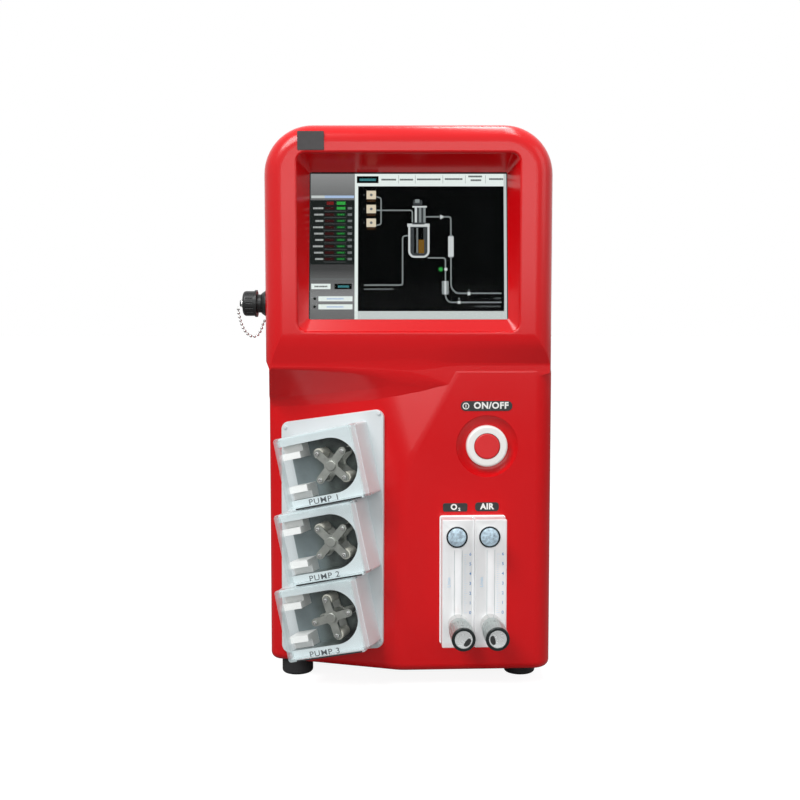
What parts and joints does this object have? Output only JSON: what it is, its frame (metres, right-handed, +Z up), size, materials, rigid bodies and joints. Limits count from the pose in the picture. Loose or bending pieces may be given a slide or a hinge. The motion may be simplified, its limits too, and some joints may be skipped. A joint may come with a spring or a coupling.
{
  "type": "bench bioreactor controller",
  "caption": "Bench bioreactor control tower with a recessed touch screen, round power button, tilted roller pump heads under clear lids, gas rotameters and a capped side connector.",
  "frame": {"origin": "on the bench surface, under the middle of the whole object's box", "axes": "+Z up, the front faces -Y, +X to the right of someone facing the front"},
  "size_m": [0.344, 0.5042, 0.604],
  "materials": {
    "red_shell": "high gloss",
    "red_paint": "gloss paint",
    "red_button": "satin",
    "plain_steel": "satin",
    "screw_steel": "satin",
    "rubber": "matte",
    "screen_glass": "glossy",
    "dark_plastic": "satin",
    "white_plastic": "satin",
    "white_panel": "satin paint",
    "chrome": "polished",
    "black_metal": "black anodised",
    "brass": "satin",
    "board": "matte",
    "supply": "satin",
    "pump_plastic": "satin",
    "clear_lid": "clear, glossy",
    "rotor_steel": "satin",
    "motor_steel": "satin",
    "roller_plastic": "satin",
    "clear_acrylic": "clear, polished",
    "float_steel": "polished",
    "knob_black": "satin"
  },
  "bodies": {
    "cabinet": {"front_shell": "red_shell", "wrap_cover": "red_paint", "base_plate": "plain_steel", "rear_panel": "plain_steel", "case_screws": "screw_steel", "foot_front_left": "rubber", "foot_front_right": "rubber", "foot_rear_left": "rubber", "foot_rear_right": "rubber", "display_gasket": "rubber", "display_glass": "screen_glass", "display_module": "dark_plastic", "button_ring": "white_plastic", "button_nut": "white_plastic", "button_switch": "dark_plastic", "pump_panel": "white_panel", "panel_screws": "screw_steel", "hinge_pins": "screw_steel", "scale_plate": "white_panel", "meter_fittings": "chrome", "connector_receptacle": "black_metal", "connector_nut": "black_metal", "chain_washer": "chrome", "cap_chain": "chrome", "power_inlet": "dark_plastic", "gas_inlets": "brass", "control_board": "board", "power_supply": "supply", "pump_1_body": "pump_plastic", "pump_1_clamps": "white_plastic", "pump_1_motor": "motor_steel", "pump_2_body": "pump_plastic", "pump_2_clamps": "white_plastic", "pump_2_motor": "motor_steel", "pump_3_body": "pump_plastic", "pump_3_clamps": "white_plastic", "pump_3_motor": "motor_steel", "oxygen_meter_block": "clear_acrylic", "oxygen_meter_valve": "chrome", "air_meter_block": "clear_acrylic", "air_meter_valve": "chrome"},
    "power_button": {"button_cap": "red_button"},
    "cap_swivel": {"cap_ring": "chrome"},
    "dust_cap": {"connector_cap": "black_metal"},
    "pump_1_wheel": {"pump_1_rotor": "rotor_steel"},
    "pump_1_lid": {"pump_1_cover": "clear_lid"},
    "pump_1_wheel_a": {"pump_1_roller_a": "roller_plastic"},
    "pump_1_wheel_b": {"pump_1_roller_b": "roller_plastic"},
    "pump_2_wheel": {"pump_2_rotor": "rotor_steel"},
    "pump_2_lid": {"pump_2_cover": "clear_lid"},
    "pump_2_wheel_a": {"pump_2_roller_a": "roller_plastic"},
    "pump_2_wheel_b": {"pump_2_roller_b": "roller_plastic"},
    "pump_3_wheel": {"pump_3_rotor": "rotor_steel"},
    "pump_3_lid": {"pump_3_cover": "clear_lid"},
    "pump_3_wheel_a": {"pump_3_roller_a": "roller_plastic"},
    "pump_3_wheel_b": {"pump_3_roller_b": "roller_plastic"},
    "oxygen_float": {"oxygen_meter_float": "float_steel"},
    "oxygen_knob": {"oxygen_meter_knob": "knob_black"},
    "air_float": {"air_meter_float": "float_steel"},
    "air_knob": {"air_meter_knob": "knob_black"}
  },
  "joints": [
    {"name": "button_press", "type": "slide", "parent": "cabinet", "child": "power_button", "axis": [-0.0523, 0.9986, 0], "range_m": [0, 0.003], "stiffness_N_per_m": 400},
    {"name": "pump_1_spin", "type": "hinge", "parent": "cabinet", "child": "pump_1_wheel", "pos_m": [-0.06459, -0.18945, 0.2451], "axis": [-0.3023, -0.9531, 0.014], "continuous": true},
    {"name": "pump_1_roller_a_spin", "type": "hinge", "parent": "pump_1_wheel", "child": "pump_1_wheel_a", "pos_m": [-0.07935, -0.1846, 0.25689], "axis": [-0.3023, -0.9531, 0.014], "continuous": true},
    {"name": "pump_1_roller_b_spin", "type": "hinge", "parent": "pump_1_wheel", "child": "pump_1_wheel_b", "pos_m": [-0.04984, -0.1943, 0.23331], "axis": [-0.3023, -0.9531, 0.014], "continuous": true},
    {"name": "pump_1_lid_open", "type": "hinge", "parent": "cabinet", "child": "pump_1_lid", "pos_m": [-0.03315, -0.19512, 0.25224], "axis": [-0.2071, 0.08, 0.9751], "range_deg": [0, 110]},
    {"name": "pump_2_spin", "type": "hinge", "parent": "cabinet", "child": "pump_2_wheel", "pos_m": [-0.06459, -0.19064, 0.1638], "axis": [-0.3023, -0.9531, 0.014], "continuous": true},
    {"name": "pump_2_roller_a_spin", "type": "hinge", "parent": "pump_2_wheel", "child": "pump_2_wheel_a", "pos_m": [-0.07874, -0.18597, 0.17639], "axis": [-0.3023, -0.9531, 0.014], "continuous": true},
    {"name": "pump_2_roller_b_spin", "type": "hinge", "parent": "pump_2_wheel", "child": "pump_2_wheel_b", "pos_m": [-0.05045, -0.19531, 0.15122], "axis": [-0.3023, -0.9531, 0.014], "continuous": true},
    {"name": "pump_2_lid_open", "type": "hinge", "parent": "cabinet", "child": "pump_2_lid", "pos_m": [-0.03315, -0.19632, 0.17095], "axis": [-0.2071, 0.08, 0.9751], "range_deg": [0, 110]},
    {"name": "pump_3_spin", "type": "hinge", "parent": "cabinet", "child": "pump_3_wheel", "pos_m": [-0.06459, -0.19183, 0.0825], "axis": [-0.3023, -0.9531, 0.014], "continuous": true},
    {"name": "pump_3_roller_a_spin", "type": "hinge", "parent": "pump_3_wheel", "child": "pump_3_wheel_a", "pos_m": [-0.07081, -0.18959, 0.10085], "axis": [-0.3023, -0.9531, 0.014], "continuous": true},
    {"name": "pump_3_roller_b_spin", "type": "hinge", "parent": "pump_3_wheel", "child": "pump_3_wheel_b", "pos_m": [-0.05838, -0.19407, 0.06416], "axis": [-0.3023, -0.9531, 0.014], "continuous": true},
    {"name": "pump_3_lid_open", "type": "hinge", "parent": "cabinet", "child": "pump_3_lid", "pos_m": [-0.03315, -0.19751, 0.08965], "axis": [-0.2071, 0.08, 0.9751], "range_deg": [0, 110]},
    {"name": "oxygen_float_rise", "type": "slide", "parent": "cabinet", "child": "oxygen_float", "axis": [0, 0, 1], "range_m": [0, 0.0635]},
    {"name": "oxygen_knob_turn", "type": "hinge", "parent": "cabinet", "child": "oxygen_knob", "pos_m": [0.06963, -0.19161, 0.075], "axis": [0.0523, -0.9986, 0], "range_deg": [0, 1620]},
    {"name": "air_float_rise", "type": "slide", "parent": "cabinet", "child": "air_float", "axis": [0, 0, 1], "range_m": [0, 0.0635]},
    {"name": "air_knob_turn", "type": "hinge", "parent": "cabinet", "child": "air_knob", "pos_m": [0.10433, -0.18979, 0.075], "axis": [0.0523, -0.9986, 0], "range_deg": [0, 1620]},
    {"name": "cap_pull", "type": "slide", "parent": "cabinet", "child": "cap_swivel", "axis": [-1, 0, 0], "range_m": [0, 0.02], "deforming": ["cap_chain"]},
    {"name": "cap_twist", "type": "hinge", "parent": "cap_swivel", "child": "dust_cap", "pos_m": [-0.1646, -0.12587, 0.4164], "axis": [-1, 0, 0], "range_deg": [0, 120]}
  ]
}
